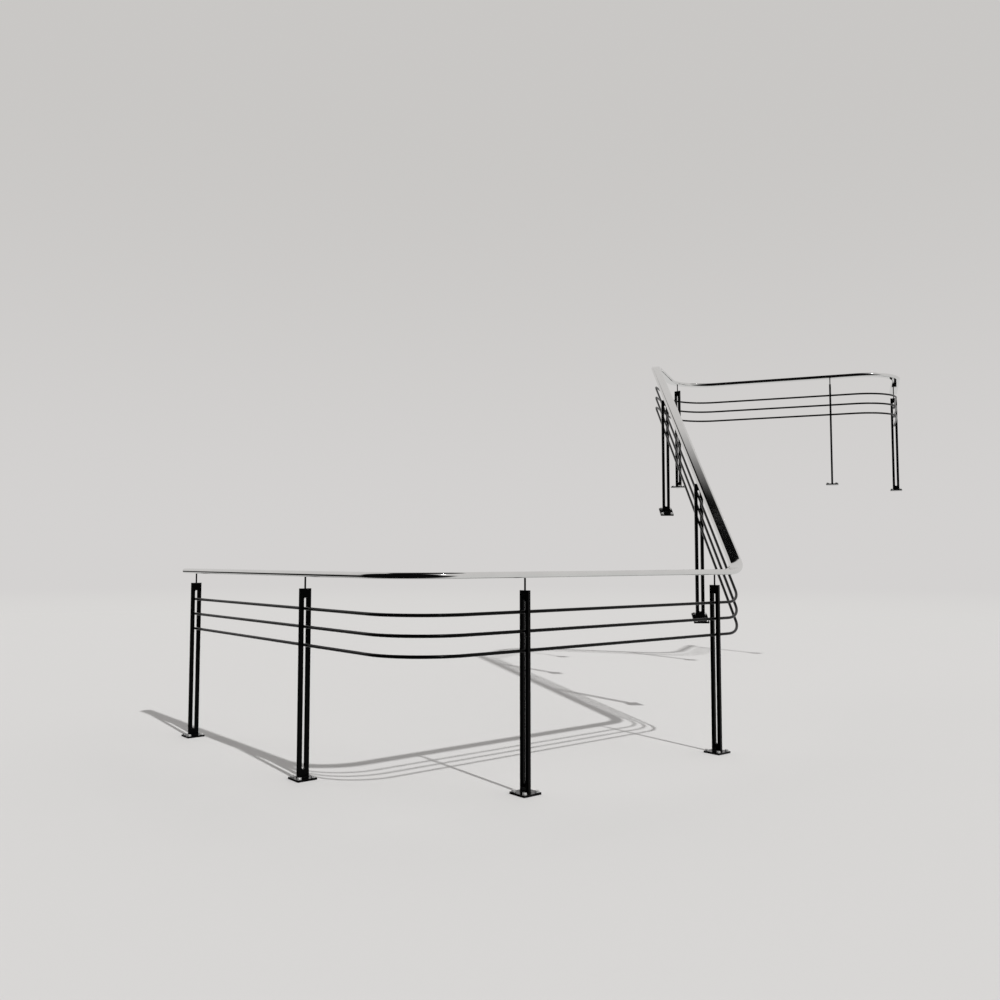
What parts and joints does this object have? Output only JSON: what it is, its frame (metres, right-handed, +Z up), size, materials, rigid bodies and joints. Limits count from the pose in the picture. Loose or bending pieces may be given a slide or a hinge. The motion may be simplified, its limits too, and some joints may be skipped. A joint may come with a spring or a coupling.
{
  "type": "stair railing",
  "caption": "Stair railing with slotted flat posts on square base plates, three round rails through the slots and a polished oval handrail on thin spigots.",
  "frame": {"origin": "centre of the first post's bolt pattern, at the underside of its base plate on the lower landing", "axes": "+X along the railing's first straight, from the first post to the second, +Z up"},
  "size_m": [2.5067, 6.8337, 2.763],
  "materials": {
    "black_paint": "satin black paint",
    "polished_steel": "mirror polish"
  },
  "bodies": {
    "root": {"base_plate_a": "black_paint", "post_a": "black_paint", "spigot_a": "black_paint", "base_plate_b": "black_paint", "post_b": "black_paint", "spigot_b": "black_paint", "base_plate_c": "black_paint", "post_c": "black_paint", "spigot_c": "black_paint", "base_plate_d": "black_paint", "post_d": "black_paint", "spigot_d": "black_paint", "base_plate_e": "black_paint", "post_e": "black_paint", "spigot_e": "black_paint", "base_plate_f": "black_paint", "post_f": "black_paint", "spigot_f": "black_paint", "base_plate_g": "black_paint", "post_g": "black_paint", "spigot_g": "black_paint", "base_plate_h": "black_paint", "post_h": "black_paint", "spigot_h": "black_paint", "base_plate_i": "black_paint", "post_i": "black_paint", "spigot_i": "black_paint", "rail_top_lower": "black_paint", "rail_top_flight": "black_paint", "rail_top_upper": "black_paint", "rail_middle_lower": "black_paint", "rail_middle_flight": "black_paint", "rail_middle_upper": "black_paint", "rail_bottom_lower": "black_paint", "rail_bottom_flight": "black_paint", "rail_bottom_upper": "black_paint", "handrail_lower": "polished_steel", "handrail_flight": "polished_steel", "handrail_upper": "polished_steel", "end_cap_lower": "polished_steel", "end_cap_upper": "polished_steel"}
  },
  "joints": []
}
